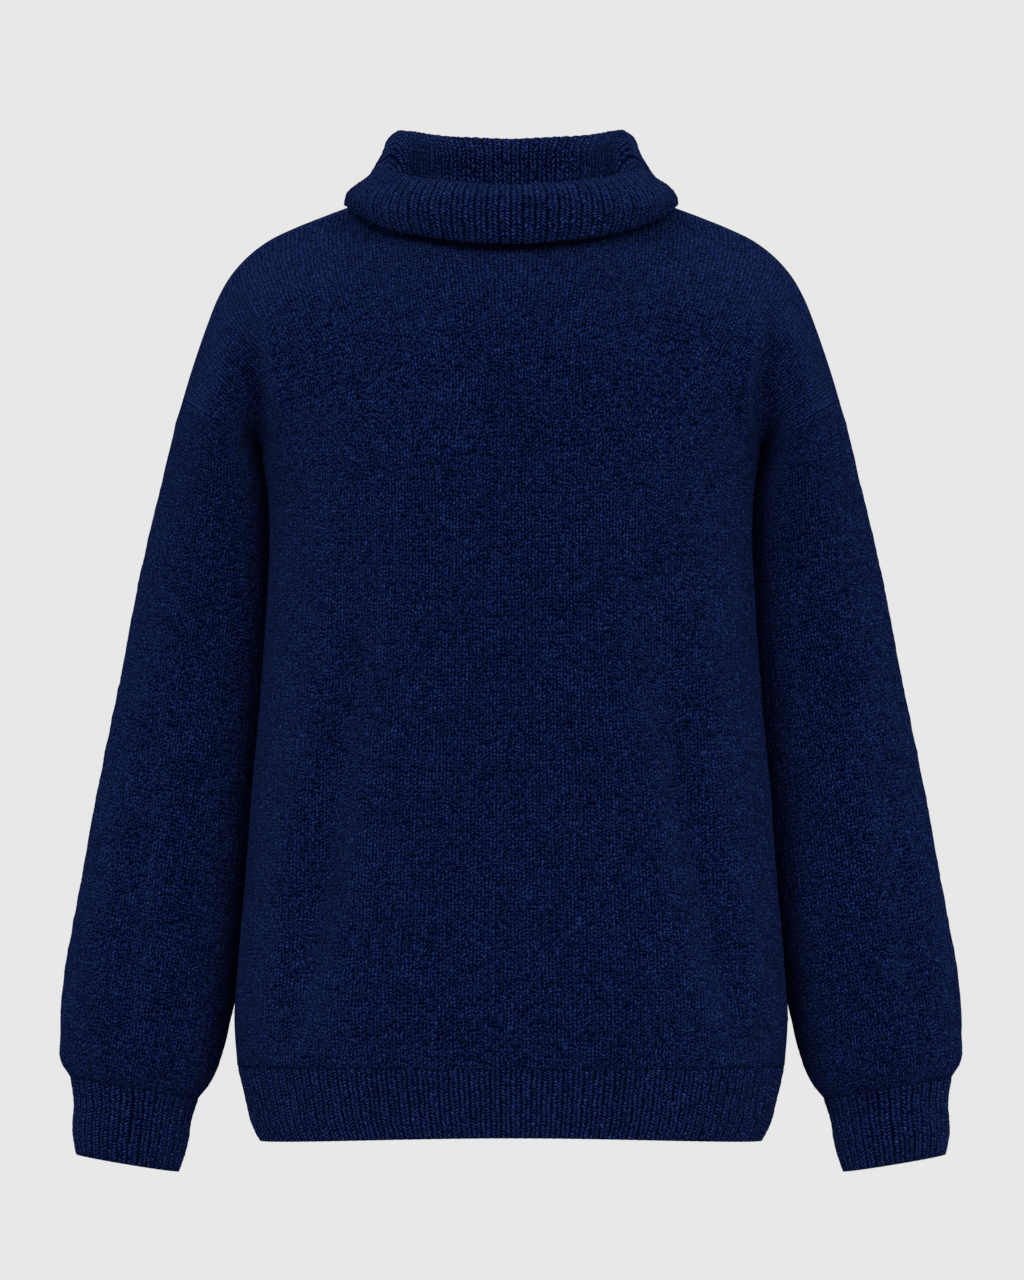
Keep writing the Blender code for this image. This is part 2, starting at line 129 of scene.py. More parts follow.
YOKE_EASING = {"rows": 12, "rounds": 6, "share": 0.5}
# Where the arm's cloth tucks in behind the body's: the body's edge and the depth, by height.
ARM_TUCK = table(
    "z x depth",
    (-60, 187, 0),
    (-75, 180, 8),
    (-104, 174, 22),
    (-132, 170.5, 26),
    (-154, 169, 23),
    (-170, 168.5, 12),
    (-190, 168, 4),
    (-230, 168, 0),
)
TUCK_SHAPE = {"recovery": 20, "step": 1.0, "ridge": 0.2, "ridge_in": 7, "ridge_width": 5}
TUCK_REACH = {"none_at_y": 8, "full_after": 45, "least": -0.45}  # the other way at the back
# Long soft troughs in the cloth: x, depth and width by height.
PANEL_FOLDS = {
    "front": (
        table(
            "z x depth width",
            (-592, -152, 0, 15),
            (-553, -150, 12.0, 15),
            (-483, -139, 17.0, 17),
            (-400, -125, 12.0, 18),
            (-300, -111, 6.0, 20),
            (-200, -104, 0, 24),
        ),
        table(
            "z x depth width",
            (-592, 158, 0, 14),
            (-553, 155, 11.0, 15),
            (-483, 143, 16.0, 17),
            (-413, 126, 14.0, 18),
            (-343, 112, 10.0, 19),
            (-260, 103, 5.5, 24),
            (-175, 98, 0, 24),
        ),
        table("z x depth width", (-560, 12, 0, 18), (-420, 6, 3.0, 24), (-200, 2, 0, 22)),
    ),
    "back": (
        table(
            "z x depth width",
            (-580, 146, 0, 16),
            (-500, 138, 5.5, 18),
            (-390, 124, 6.0, 21),
            (-250, 112, 0, 22),
        ),
        table(
            "z x depth width",
            (-585, -154, 0, 15),
            (-520, -146, 4.5, 17),
            (-430, -131, 6.0, 20),
            (-310, -116, 3.5, 22),
            (-200, -104, 0, 22),
        ),
        table("z x depth width", (-560, -20, 0, 20), (-450, -12, 2.5, 26), (-290, -4, 0, 24)),
    ),
}


def spline(at, places, values):
    """A smooth curve through values at their places, each slope taken from the neighbours."""
    at, places = np.asarray(at, float), np.asarray(places, float)
    values = np.asarray(values, float).reshape(len(places), -1)
    slopes = np.gradient(values, places, axis=0)
    i = np.clip(np.searchsorted(places, at, side="right") - 1, 0, len(places) - 2)
    width = (places[i + 1] - places[i])[:, None]
    t = ((at - places[i])[:, None]) / width
    start, end = values[i], values[i + 1]
    return (
        start * (2 * t**3 - 3 * t**2 + 1)
        + end * (3 * t**2 - 2 * t**3)
        + slopes[i] * width * (t**3 - 2 * t**2 + t)
        + slopes[i + 1] * width * (t**3 - t**2)
    )


def lengths_along(points):
    """The length of a line from its start to each of its points, as a share of the whole."""
    steps = np.linalg.norm(np.diff(points, axis=0), axis=1)
    along = np.concatenate([[0], np.cumsum(steps)])
    return along / along[-1]


def evenly_along(points, shares, closed=False):
    """Points at the given shares of a smooth line's length."""
    along = lengths_along(points)
    if closed:
        points = np.concatenate([points[-3:-1], points, points[1:3]])
        along = np.concatenate([along[-3:-1] - 1, along, along[1:3] + 1])
    return spline(shares, along, points)


def oval(angles, half_width, front, back, side_y, squareness):
    """x and y round a level section. The angle is 0 at the front and grows towards +X."""
    across, along = np.sin(angles), np.cos(angles)
    x = half_width * np.sign(across) * np.abs(across) ** (2 / squareness)
    reach = np.where(along > 0, front + side_y, back - side_y)
    y = side_y - reach * np.sign(along) * np.abs(along) ** (2 / squareness)
    return x, y


def body_sections(rows, angles):
    """Level sections of the body, one grid row for each row of the table."""
    grid = []
    for z, half_width, front, back, side_y in zip(*rows.values()):
        x, y = oval(angles, half_width, front, back, side_y, BODY_SQUARENESS)
        grid.append(np.stack([x, y, np.full_like(x, z)], axis=1))
    return np.array(grid)


def neckline(angles):
    """Points of the neckline. The angle is 0 at the front and grows towards +X."""
    side_y, side_z = NECKLINE["side"]
    forward = np.cos(angles)
    end = np.where(forward[:, None] > 0, NECKLINE["front"], NECKLINE["back"])
    x = NECKLINE["half_width"] * np.sin(angles)
    y = side_y + (end[:, 0] - side_y) * np.abs(forward)
    z = side_z + (end[:, 1] - side_z) * forward**2
    return np.stack([x, y, z], axis=1)


def armhole_half(face):
    """The armhole's half on one face, from the underarm up to the shoulder tip."""
    share = ARMHOLE["share"][:, None]
    points = (1 - share) * np.array(UNDERARM) + share * np.array(SHOULDER_TIP)
    points[:, 1] = ARMHOLE[face + "_y"]
    return evenly_along(points, np.linspace(0, 1, YOKE_FORM_ROWS))


def yoke(face, angles):
    """The panel above the underarm, from the centre line out: a patch between four edges."""
    facing = -1 if face == "front" else 1
    bottom = body_sections({name: values[-1:] for name, values in BODY.items()}, angles)[0]
    ridge = np.stack(list(SHOULDER.values()), axis=1)
    # About a third of the columns end at the neckline, and the others at the shoulder.
    neck = neckline(angles[::3])
    shoulder = evenly_along(ridge, np.linspace(0, 1, HALF_COLUMNS - len(neck) + 1))
    top = np.concatenate([neck, shoulder[1:]])
    line = CENTRE_LINE[face]
    middle = np.stack([np.zeros_like(line["y"]), line["y"], line["z"]], axis=1)
    left = evenly_along(middle, np.linspace(0, 1, YOKE_FORM_ROWS))
    right = armhole_half(face)
    u = np.linspace(0, 1, HALF_COLUMNS)[None, :, None]
    v = np.linspace(0, 1, YOKE_FORM_ROWS)[:, None, None]
    patch = (1 - v) * bottom + v * top + (1 - u) * left[:, None] + u * right[:, None]
    patch -= (1 - v) * ((1 - u) * bottom[0] + u * bottom[-1])
    patch -= v * ((1 - u) * top[0] + u * top[-1])
    depth, at, spread, fade, seam_power = ARM_CREASE.values()
    crease = depth * v * (1 - v) ** fade * np.exp(-(((u - at) / spread) ** 2)) * (1 - u**seam_power)
    patch[..., 1] -= facing * crease[..., 0]
    return patch


def panel_form(face):
    """The panel's form as a coarse grid, its columns running left to right seen from outside."""
    quarter = np.linspace(0, np.pi / 2, HALF_COLUMNS)
    angles = quarter if face == "front" else np.pi - quarter
    half = np.concatenate([body_sections(BODY, angles)[:-1], yoke(face, angles)])
    whole = np.concatenate([half[:, :0:-1] * (-1, 1, 1), half], axis=1)
    rows, rounds, share = YOKE_EASING.values()
    eased = whole[-rows:]
    for _ in range(rounds):
        around = eased[:-2, 1:-1] + eased[2:, 1:-1] + eased[1:-1, :-2] + eased[1:-1, 2:]
        eased[1:-1, 1:-1] += share * (around / 4 - eased[1:-1, 1:-1])
    return whole if face == "front" else whole[:, ::-1]


def fine_rows(form, form_places, places):
    """A form's few rows made many, smooth from one to the next."""
    return spline(places, form_places, form.reshape(len(form), -1)).reshape(-1, *form.shape[1:])


def unit(vectors):
    return vectors / np.maximum(np.linalg.norm(vectors, axis=-1), 1e-9)[..., None]


def outward(grid, closed=False):
    """Directions out of a grid, with a tube's first and last columns taken as one."""
    if closed:
        grid = np.concatenate([grid[:, -2:-1], grid, grid[:, 1:2]], axis=1)
    across, up = np.gradient(grid, axis=1), np.gradient(grid, axis=0)
    out = unit(np.cross(across, up))
    return out[:, 1:-1] if closed else out


def pressed(grid, out, folds, facing):
    """The grid with its long troughs pressed in on the side that the piece faces."""
    toward = np.clip(facing * out[..., 1], 0, 1)
    for fold in folds:
        order = np.argsort(fold["z"])
        x, depth, width = (
            np.interp(grid[..., 2], fold["z"][order], fold[column][order])
            for column in ("x", "depth", "width")
        )
        press = depth * toward * np.exp(-(((grid[..., 0] - x) / width) ** 2))
        grid = grid - press[..., None] * out
    return grid


def tucked(grid):
    """The grid with the arm's cloth tucked in behind the body's, from mid-shoulder down.

    It moves a point only by where it stands, so panel and sleeve still meet at their seam.
    """
    x, y, z = abs(grid[..., 0]), grid[..., 1], grid[..., 2]
    heights, edge, depths = (ARM_TUCK[column][::-1] for column in ("z", "x", "depth"))
    past = x - np.interp(z, heights, edge)
    depth = np.interp(z, heights, depths)
    recovery, step, ridge, ridge_in, ridge_width = TUCK_SHAPE.values()
    valley = np.exp(-((np.maximum(past, 0) / recovery) ** 2)) / (1 + np.exp(-past / step))
    rise = ridge * np.exp(-(((past + ridge_in) / ridge_width) ** 2))
    none_at_y, full_after, least = TUCK_REACH.values()
    moved = grid.copy()
    moved[..., 1] += depth * (valley - rise) * np.clip((none_at_y - y) / full_after, least, 1)
    return moved


def uneven(grid, cells, height, seed, closed=False):
    """Soft random swells for a grid, height millimetres at most, from cells[0] by cells[1] values."""
    values = np.random.default_rng(seed).uniform(-1, 1, (cells[0] + 1, cells[1] + 1))
    if closed:
        values[:, -1] = values[:, 0]
    rows, columns = grid.shape[:2]
    up = spline(np.linspace(0, cells[0], rows), np.arange(cells[0] + 1), values)
    return height * spline(np.linspace(0, cells[1], columns), np.arange(cells[1] + 1), up.T).T


def fuzz(grid, seed):
    """A little random height at every point, so that no stitch or outline is smooth."""
    return np.random.default_rng(seed).normal(0, FUZZ_HEIGHT, grid.shape[:2])


def faded(count, span):
    """1 along a grid's side, falling softly to 0 at its ends over a span of points."""
    near = np.minimum(np.arange(count), np.arange(count)[::-1])
    return np.sin(np.clip(near / span, 0, 1) * np.pi / 2)


def wale_relief(columns):
    """How far each column stands out over plain knit's wales: valley, leg, groove, leg."""
    return np.tile(WALE_HEIGHTS, columns // WALE_POINTS + 1)[:columns]


def shell(name, skin, out, thickness, step, closed=False):
    """A closed wall of cloth: a fine outer grid, a coarser inner one and the rims between."""
    bm = bmesh.new()
    uv = bm.loops.layers.uv.new("UVMap")
    course = bm.verts.layers.float.new("course")
    # The inner grid takes every step-th row and column, and always the last.
    picked = [np.unique(np.append(np.arange(0, n, s), n - 1)) for n, s in zip(skin.shape, step)]
    inner = (skin - thickness * out)[np.ix_(*picked)]
    for grid, inside in ((skin, False), (inner, True)):
        rows, columns = grid.shape[:2]
        made = bmesh.ops.create_grid(
            bm, x_segments=columns - 1, y_segments=rows - 1, size=0.5, calc_uvs=True
        )["verts"]
        for vert, place, row in zip(made, grid.reshape(-1, 3) * MM, np.repeat(range(rows), columns)):
            vert.co = place
            vert[course] = row / (rows - 1)
        if inside:
            own = set(made)
            bmesh.ops.reverse_faces(bm, faces=[f for f in bm.faces if f.verts[0] in own])
    if closed:
        edge = [v for v in bm.verts if v.is_boundary]
        bmesh.ops.remove_doubles(bm, verts=edge, dist=0.00001)
    open_edges = [e for e in bm.edges if e.is_boundary]
    low = [e for e in open_edges if e.verts[0][course] < 0.5]
    high = [e for e in open_edges if e.verts[0][course] > 0.5]
    for rim in (low, high) if closed else (open_edges,):
        bridge = set(bmesh.ops.bridge_loops(bm, edges=rim)["faces"])
        for face in bridge:
            for loop in face.loops:
                beside = next(x for x in loop.vert.link_loops if x.face not in bridge)
                loop[uv].uv = beside[uv].uv
            across = [loop[uv].uv.x for loop in face.loops]
            if max(across) - min(across) > 0.5:  # at the column where a tube closes
                end = round(np.mean([x for x in across if 0.001 < x < 0.999] or [0]))
                for loop in face.loops:
                    if not 0.001 < loop[uv].uv.x < 0.999:
                        loop[uv].uv.x = end
    bmesh.ops.recalc_face_normals(bm, faces=bm.faces)
    mesh = bpy.data.meshes.new(name)
    bm.to_mesh(mesh)
    bm.free()
    mesh.shade_smooth()
    piece = bpy.data.objects.new(name, mesh)
    bpy.context.scene.collection.objects.link(piece)
    return piece


class Yarn:
    """One value in a material. Sums on it add Math nodes, and node() adds any other node."""

    def __init__(self, tree, socket=None):
        self.tree = tree
        self.socket = socket

    def node(self, kind, settings=(), values=(), out=0):
        made = self.tree.nodes.new("ShaderNode" + kind)
        for name, value in dict(settings).items():
            setattr(made, name, value)
        for name, value in dict(values).items():
            if isinstance(value, Yarn):
                self.tree.links.new(value.socket, made.inputs[name])
            else:
                made.inputs[name].default_value = value
        return Yarn(self.tree, made.outputs[out])

    def maths(self, operation, *values):
        return self.node("Math", {"operation": operation}, enumerate(values))

    def mixed(self, factor, first, second, blend="MIX"):
        settings = {"data_type": "RGBA", "blend_type": blend}
        return self.node("Mix", settings, {0: factor, 6: first, 7: second}, out=2)

    def softly(self, low, high):
        """0 where the value is below low, 1 above high, with an eased step between."""
        settings = {"interpolation_type": "SMOOTHSTEP"}
        return self.node("MapRange", settings, {"Value": self, "From Min": low, "From Max": high})

    def __add__(self, other):
        return self.maths("ADD", self, other)

    def __sub__(self, other):
        return self.maths("SUBTRACT", self, other)

    def __rsub__(self, other):
        return self.maths("SUBTRACT", other, self)

    def __mul__(self, other):
        return self.maths("MULTIPLY", self, other)

    def __truediv__(self, other):
        return self.maths("DIVIDE", self, other)

    def __pow__(self, power):
        return self.maths("POWER", self, power)

    def __abs__(self):
        return self.maths("ABSOLUTE", self)

    __radd__ = __add__
    __rmul__ = __mul__


def wool(name, wales, courses, size, stitch_form, colours, seams=()):
    """Thick soft wool knitted in columns of V stitches, on a piece of this size in millimetres.

    stitch_form is how much of a wale the stitches fill, how steep their legs are, how much
    the wales stray and how high a stitch stands. seams names the edges along which a seam is
    painted: painted shade in its groove and a painted highlight on the ridge beside it.
    """
    share, rise, stray, depth = stitch_form
    # colours: painted shade for the gaps between stitches, the yarn's own navy, and a painted
    # highlight for the crests.
    gap_shade, body, crest_highlight = colours
    material = bpy.data.materials.new(name)
    material.use_nodes = True
    tree = material.node_tree
    shader = tree.nodes["Principled BSDF"]
    start = Yarn(tree)
    places = start.node("TexCoord", out="UV")
    metres = start.node("TexCoord", out="Object")
    # A noise is faint where all its scales meet, so that place is kept off the cloth.
    metres = start.node("VectorMath", (), {0: metres, 1: (1.137, 2.211, 1.173)})
    across = start.node("SeparateXYZ", values={0: places}, out="X")
    along = start.node("SeparateXYZ", values={0: places}, out="Y")

    def grain(scale, detail, rough=0.55):
        values = {"Vector": metres, "Scale": scale, "Detail": detail, "Roughness": rough}
        return start.node("TexNoise", (), values) - 0.5

    # Slow changes over the cloth, the yarn's wander, its lumps and its fibres.
    slow, wander, lumps, fibre = grain(26, 1), grain(150, 1), grain(420, 1), grain(1500, 3, 0.7)
    x = across * wales + (wander * 0.5 + lumps * 0.25) * stray
    y = along * courses + slow * 2.0 + (wander * 1.4 + lumps * 2.2) * stray
    side = abs(x.maths("FRACT", x) - 0.5) * 2
    leg = 1 - ((side / share - 0.5) * 2) ** 2
    leg = leg.maths("MAXIMUM", leg, 0)
    phase = y - side * (rise / share)
    phase = phase.maths("FRACT", phase)
    strand = (1 - (phase * 2 - 1) ** 2) ** 1.8
    inside = (share * 1.08 - side).softly(0, 0.16)
    stitch = strand * (leg * 0.65 + 0.35) * inside
    height = stitch + fibre * 0.6 + lumps * 0.6
    # Painted light by stitch height: the low gaps take the painted shade colour, the high crests the
    # painted highlight.
    out_of_gap_shade = (height + wander * 0.2).softly(0.02, 0.55)
    crest_highlight_mask = (height + fibre * 0.4).softly(0.50, 1.05)
    colour = start.mixed(crest_highlight_mask, start.mixed(out_of_gap_shade, gap_shade, body), crest_highlight)
    heather_and_seam_shade = slow * 0.4 + wander * 0.7 + lumps * 0.7 + 1
    from_sides, from_top = (0.5 - abs(across - 0.5)) * size[0], (1 - along) * size[1]
    # Along each seam: painted shade in its groove and a painted highlight on the ridge beside it, over
    # the yarn's random heather.
    for seam, distance in (("sides", from_sides), ("top", from_top)):
        if seam in seams:
            in_from_seam = distance + lumps
            ridge = in_from_seam.softly(0.8, 1.4) - in_from_seam.softly(2.8, 3.8)
            heather_and_seam_shade = heather_and_seam_shade * (in_from_seam.softly(0.1, 0.9) * 0.7 + 0.3 + ridge * 0.3)
    shade = start.node("CombineXYZ", (), {0: heather_and_seam_shade, 1: heather_and_seam_shade, 2: heather_and_seam_shade})
    colour = start.mixed(1.0, colour, shade, "MULTIPLY")
    bump = start.node("Bump", (), {"Strength": 1.0, "Distance": depth, "Height": height})
    tree.links.new(colour.socket, shader.inputs["Base Color"])
    tree.links.new(bump.socket, shader.inputs["Normal"])
    shader.inputs["Roughness"].default_value = 0.95
    shader.inputs["Specular IOR Level"].default_value = 0.0
    shader.inputs["Sheen Weight"].default_value = 0.05
    shader.inputs["Sheen Roughness"].default_value = 0.35
    shader.inputs["Sheen Tint"].default_value = (0.13, 0.26, 0.90, 1)
    return material


# Painted shade in the gaps between stitches, the stitches' own navy, and a painted highlight on their
# crests.
NAVIES_WITH_PAINTED_LIGHT = ((0.0002, 0.0005, 0.0038, 1), (0.0013, 0.0034, 0.0195, 1), (0.0072, 0.0143, 0.0630, 1))
PLAIN = (1.0, 0.68, 1.0, 0.0011)

panel_edges = {}
columns = PANEL_WALES * WALE_POINTS
shares = np.linspace(0, 1, columns + 1)
for face, facing in (("front", -1), ("back", 1)):
    form = panel_form(face)
    form_places = lengths_along(form.mean(axis=1))
    underarm = form_places[len(BODY["z"]) - 1]
    rows_below = np.linspace(0, underarm, BODY_ROWS + 1)
    courses = np.append(rows_below, np.linspace(underarm, 1, YOKE_ROWS + 1)[1:])
    form = np.array([evenly_along(row, shares) for row in form])
    skin = fine_rows(form, form_places, courses)
    panel_edges[face] = skin[BODY_ROWS:, [0, -1]]
    skin = tucked(skin)
    out = outward(skin)
    skin = pressed(skin, out, PANEL_FOLDS[face], facing)
    away = faded(len(skin), 3)[:, None] * faded(columns + 1, 6)
    relief = wale_relief(columns + 1) + uneven(skin, (16, 12), SWELL, 11) - SINK
    relief = relief + uneven(skin, (75, 110), SMALL_SWELL, 12) + fuzz(skin, 13)
    relief = relief * away
    skin = skin + relief[..., None] * out
    panel = shell(face + "_panel_knit", skin, out, PANEL_WALL, INNER_STEP)
    panel.data.materials.append(
        wool(face + "_plain_knit", PANEL_WALES, PANEL_COURSES, PANEL_SIZE, PLAIN, NAVIES_WITH_PAINTED_LIGHT, PANEL_SEAMS)
    )
    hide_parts(face + "_panel")
    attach(panel, "root")

# ---------------------------------------------------------------------------------------
# Sleeves. Each is a tube of the same plain knit, set in at the armhole and drawn in at the
# cuff seam, so that it puffs out a little over the cuff.

SLEEVE_WALES = 76
SLEEVE_COURSES = 168
SLEEVE_SIZE = (376, 455)
SLEEVE_ROWS = 118
SLEEVE_SQUARENESS = 2.1
GATHERS = {"count": 36, "depth": 0.8, "fade": 2.5}  # the folds where the cuff draws it in
SLEEVE = table(
    "outer_x outer_z inner_x inner_z side_y front back",
    (236.0, -154, 172.5, -178, 10, 73, 70),
    (243.0, -182, 166.0, -204, 22, 72, 68),
    (251.5, -216, 164.5, -238, 34, 70, 66),
    (261.5, -262, 165.0, -284, 44, 68, 63),
    (272.5, -315, 168.5, -336, 49, 65, 61),
    (284.5, -375, 174.5, -396, 49, 64, 61),
    (296.5, -435, 180.5, -455, 46, 64, 61),
    (307.5, -497, 187.5, -516, 42, 63, 61),
    (314.8, -548, 195.8, -566, 38, 60, 59),
    (316.8, -579, 203.5, -596, 35, 56, 55),
    (315.8, -597, 210.5, -612, 33, 50, 50),
    (309.5, -607.6, 219.5, -622.8, 32, 41, 41),
)
SLEEVE_FOLDS = {
    "left": (
        table(
            "z x depth width",
            (-585, 287, 0, 12),
            (-530, 283, 8.0, 16),
            (-440, 273, 8.0, 18),
            (-320, 254, 0, 18),
        ),
        table("z x depth width", (-350, 206, 0, 12), (-270, 201, 3.5, 14), (-190, 196, 0, 14)),
    ),
    "right": (
        table(
            "z x depth width",
            (-585, -270, 0, 12),
            (-520, -268, 9.0, 16),
            (-430, -262, 8.0, 18),
            (-300, -240, 0, 18),
        ),
        table("z x depth width", (-380, -202, 0, 12), (-290, -199, 3.5, 13), (-200, -194, 0, 13)),
    ),
}


def arm_sections(rows, angles):
    """Slanted sections of a sleeve or cuff. The angle is 0 on the outer side, then front."""
    grid = []
    for outer_x, outer_z, inner_x, inner_z, side_y, front, back in zip(*rows.values()):
        share, depth = oval(angles + np.pi / 2, 1, front, back, 0, SLEEVE_SQUARENESS)
        share = (share + 1) / 2
        x = inner_x + (outer_x - inner_x) * share
        z = inner_z + (outer_z - inner_z) * share
        grid.append(np.stack([x, side_y - depth, z], axis=1))
    return np.array(grid)


def armhole_ring(columns):
    """The armhole's edge on the +X side, from its top round the front and back again."""
    halves = [panel_edges["front"][:, 1], panel_edges["back"][:, 0]]
    shares = np.linspace(0, 1, columns // 2 + 1)
    front, back = (evenly_along(half, shares) for half in halves)
    return np.concatenate([front[::-1], back[1:]])


def on_side(tube, side):
    """A tube of the +X arm, its rows from the top down, turned to run upwards on either arm."""
    return tube[::-1, ::-1] if side == "left" else tube[::-1] * (-1, 1, 1)


columns = SLEEVE_WALES * WALE_POINTS
form = arm_sections(SLEEVE, np.linspace(0, 2 * np.pi, 49))
shares = np.linspace(0, 1, columns + 1)
form = np.array([armhole_ring(columns)] + [evenly_along(row, shares, True) for row in form])
form_places = lengths_along(form.mean(axis=1))
rows = np.linspace(0, 1, SLEEVE_ROWS + 1)
smooth_sleeve = fine_rows(form, form_places, rows)
for side in ("left", "right"):
    skin = tucked(on_side(smooth_sleeve, side))
    out = outward(skin, True)
    skin = pressed(skin, out, SLEEVE_FOLDS[side], -1)
    away = faded(len(rows), 3)[:, None] * np.ones(columns + 1)
    relief = wale_relief(columns + 1) + uneven(skin, (14, 8), SWELL, 21, True) - SINK
    relief = relief + uneven(skin, (58, 80), SMALL_SWELL, 22, True) + fuzz(skin, 23)
    count, depth, fade = GATHERS.values()
    gathers = np.exp(-np.arange(len(rows)) / fade)[:, None]
    turn = np.linspace(0, 2 * np.pi, columns + 1)
    relief = relief * away - depth * gathers * (0.5 + 0.5 * np.cos(count * turn))
    relief[:, -1] = relief[:, 0]
    skin = skin + relief[..., None] * out
    sleeve = shell(side + "_sleeve_knit", skin, out, PANEL_WALL, INNER_STEP, True)
    sleeve.data.materials.append(
        wool(side + "_sleeve_wool", SLEEVE_WALES, SLEEVE_COURSES, SLEEVE_SIZE, PLAIN, NAVIES_WITH_PAINTED_LIGHT, ("top",))
    )
    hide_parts(side + "_sleeve")
    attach(sleeve, "root")

# ---------------------------------------------------------------------------------------
# Hem ribs. The panels end in a knit-one, purl-one rib of the same wool, which draws the
# sweater in and closes at the side seams.

RIB_WALL = 3.6
HEM_RIBS = 72
HEM_COURSES = 23
HEM_SIZE = (500, 55)
HEM_ROWS = 26
HEM_LIFT = 5  # how much higher its edge is in the middle than at the sides
HEM_SEAM_GAP = 0.05  # under the panel's lower edge
HEM = table(
    "z half_width front back side_y",
    (-598, 191.0, 137.5, 126.5, -8),
    (-622, 185.6, 134, 123, -8),
    (-640, 181.0, 131, 120, -8),
    (-651, 175.5, 127, 116, -8),
)
RIB_POINTS = 8  # points from the middle of one trough to the next
RIB_HEIGHT = 0.8
RIB_INSIDE = 0.68  # the share of a rib's height that lies inside its form
RIB_AT_EDGE = 0.4  # the share of it that is left at the edges of a hem or cuff
RIB_SWELL = 0.35
# Painted shade in the gaps between the rib's stitches, its own navy, and a painted highlight on the
# crests.
RIB_NAVIES_WITH_PAINTED_LIGHT = ((0.0002, 0.0005, 0.0038, 1), (0.0011, 0.0028, 0.0180, 1), (0.0115, 0.0220, 0.0930, 1))
RIB = (0.92, 1.00, 0.7, 0.0015)


def rib_relief(columns, height=RIB_HEIGHT):
    """How far each column of a ribbed skin stands out: round ridges over narrow troughs."""
    turn = np.arange(columns) / RIB_POINTS * 2 * np.pi
    return height * ((0.5 - 0.5 * np.cos(turn)) ** 0.5 - RIB_INSIDE)


def low_at_edges(ribs, away):
    """Ribs that sink towards the edges of their piece, where away is 0."""
    return ribs * (RIB_AT_EDGE + (1 - RIB_AT_EDGE) * away)


columns = HEM_RIBS * RIB_POINTS
shares = np.linspace(0, 1, columns + 1)
for face, start in (("front", -np.pi / 2), ("back", np.pi / 2)):
    angles = np.linspace(start, start + np.pi, columns + 1)
    form = np.array([evenly_along(row, shares) for row in body_sections(HEM, angles)])
    down = (form[0, 0, 2] - form[:, :, 2]) / (form[0, 0, 2] - form[-1, 0, 2])
    form[..., 2] += HEM_LIFT * down * np.cos(angles) ** 2
    form = form[::-1]
    rows = np.linspace(form[0, 0, 2], form[-1, 0, 2], HEM_ROWS + 1)
    skin = fine_rows(form, form[:, 0, 2], rows)
    out = outward(skin)
    away = faded(len(rows), 2)[:, None] * faded(columns + 1, 4)
    relief = low_at_edges(rib_relief(columns + 1), away)
    relief = relief + (uneven(skin, (3, 50), RIB_SWELL, 31) + fuzz(skin, 32)) * away
    skin = skin + relief[..., None] * out
    skin[-1, :, 2] -= HEM_SEAM_GAP
    hem = shell(face + "_hem_knit", skin, out, RIB_WALL, INNER_STEP)
    hem.data.materials.append(
        wool(face + "_hem_wool", HEM_RIBS, HEM_COURSES, HEM_SIZE, RIB, RIB_NAVIES_WITH_PAINTED_LIGHT, ("sides",))
    )
    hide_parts(face + "_hem_rib")
    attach(hem, "root")
    face + "_panel"

# ---------------------------------------------------------------------------------------
# Cuffs. Short tubes of the same rib, which grip the wrist and gather the sleeve's end.

CUFF_RIBS = 36
CUFF_COURSES = 24
CUFF_SIZE = (250, 55)
CUFF_ROWS = 28
CUFF = table(
    "outer_x outer_z inner_x inner_z side_y front back",
    (309.4, -607.7, 219.6, -622.9, 32, 40.9, 40.9),
    (307.0, -622, 223.5, -635, 31, 39, 39),
    (307.5, -648, 228.5, -660, 29, 37.5, 37.5),
    (305.0, -662, 233.0, -674, 28, 34.5, 34.5),
)

columns = CUFF_RIBS * RIB_POINTS
form = arm_sections(CUFF, np.linspace(0, 2 * np.pi, columns + 1))
form_places = lengths_along(form[:, 0])
rows = np.linspace(0, 1, CUFF_ROWS + 1)
smooth_cuff = fine_rows(form, form_places, rows)
for side in ("left", "right"):
    skin = on_side(smooth_cuff, side)
    out = outward(skin, True)
    away = faded(len(rows), 2)[:, None] * np.ones(columns + 1)
    relief = low_at_edges(rib_relief(columns + 1), away)
    relief = relief + (uneven(skin, (3, 24), RIB_SWELL, 41, True) + fuzz(skin, 42)) * away
    relief[:, -1] = relief[:, 0]
    skin = skin + relief[..., None] * out
    cuff = shell(side + "_cuff_knit", skin, out, RIB_WALL, INNER_STEP, True)
    cuff.data.materials.append(
        wool(side + "_cuff_wool", CUFF_RIBS, CUFF_COURSES, CUFF_SIZE, RIB, RIB_NAVIES_WITH_PAINTED_LIGHT)
    )
    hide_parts(side + "_cuff")
    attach(cuff, "root")

# ---------------------------------------------------------------------------------------
# Collar. One tall ribbed tube, knitted up from the neckline and turned down over itself,
# so that its outer layer rolls over at the top and hangs loose round the neck.

COLLAR_RIBS = 84
COLLAR_COURSES = 44
COLLAR_SIZE = (520, 125)
COLLAR_ROWS = 80
COLLAR_STEP = (8, 8)
COLLAR_SEAM_GAP = 0.3
COLLAR_RIB_HEIGHT = 0.45  # lower than the ribs of hem and cuffs
COLLAR_SWELL = 0.4
COLLAR_FALL = {"out": 1.2, "down": 0.7}  # where the cloth falls from the fold, in fold radii
COLLAR_CURL = {"in": 5, "up": 2}  # how its free edge turns back under
